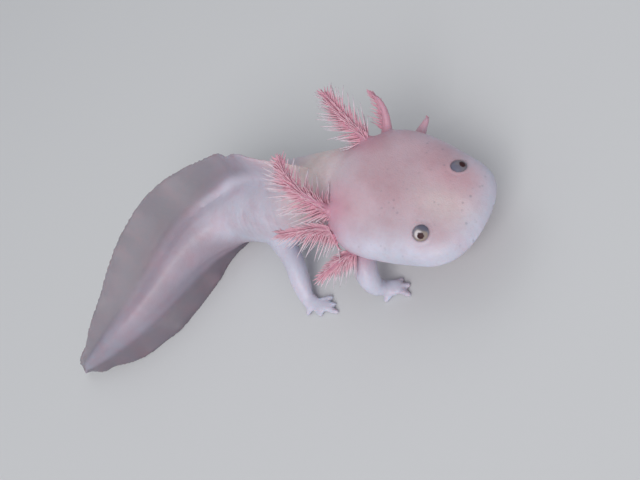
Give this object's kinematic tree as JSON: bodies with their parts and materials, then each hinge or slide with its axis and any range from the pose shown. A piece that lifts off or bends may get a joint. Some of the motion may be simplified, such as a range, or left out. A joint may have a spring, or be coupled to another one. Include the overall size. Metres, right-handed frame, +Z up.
{
  "type": "axolotl model",
  "caption": "Still, life-size model of a pale axolotl: broad flat head, feathery outside gills, four short legs on the floor, and a finned tail swept to one side.",
  "frame": {"origin": "on the floor, under the middle of the whole model's box", "axes": "+X runs from the tail towards the snout, +Y to the animal's left, +Z up"},
  "size_m": [0.1608, 0.0856, 0.048],
  "materials": {
    "skin": "soft, moist, pale pinkish-white skin with a low sheen",
    "fin": "thin, slightly see-through skin fold, smooth and moist",
    "gill": "soft rose-pink flesh with fine paler filaments",
    "eye": "wet, glossy and dark with a pale golden ring round the pupil"
  },
  "bodies": {
    "root": {"head": "skin", "jaw": "skin", "eye_left": "eye", "eye_right": "eye", "neck": "skin", "trunk_front": "skin", "trunk_rear": "skin", "tail_base": "skin", "tail_middle": "skin", "tail_tip": "skin", "fin_back": "fin", "fin_tail_front": "fin", "fin_tail_rear": "fin", "fin_under_front": "fin", "fin_under_rear": "fin", "upper_arm_right": "skin", "forearm_right": "skin", "hand_right": "skin", "upper_arm_left": "skin", "forearm_left": "skin", "hand_left": "skin", "thigh_right": "skin", "shank_right": "skin", "foot_right": "skin", "thigh_left": "skin", "shank_left": "skin", "foot_left": "skin", "gill_upper_right": "gill", "gill_middle_right": "gill", "gill_lower_right": "gill", "gill_upper_left": "gill", "gill_middle_left": "gill", "gill_lower_left": "gill"}
  },
  "joints": []
}
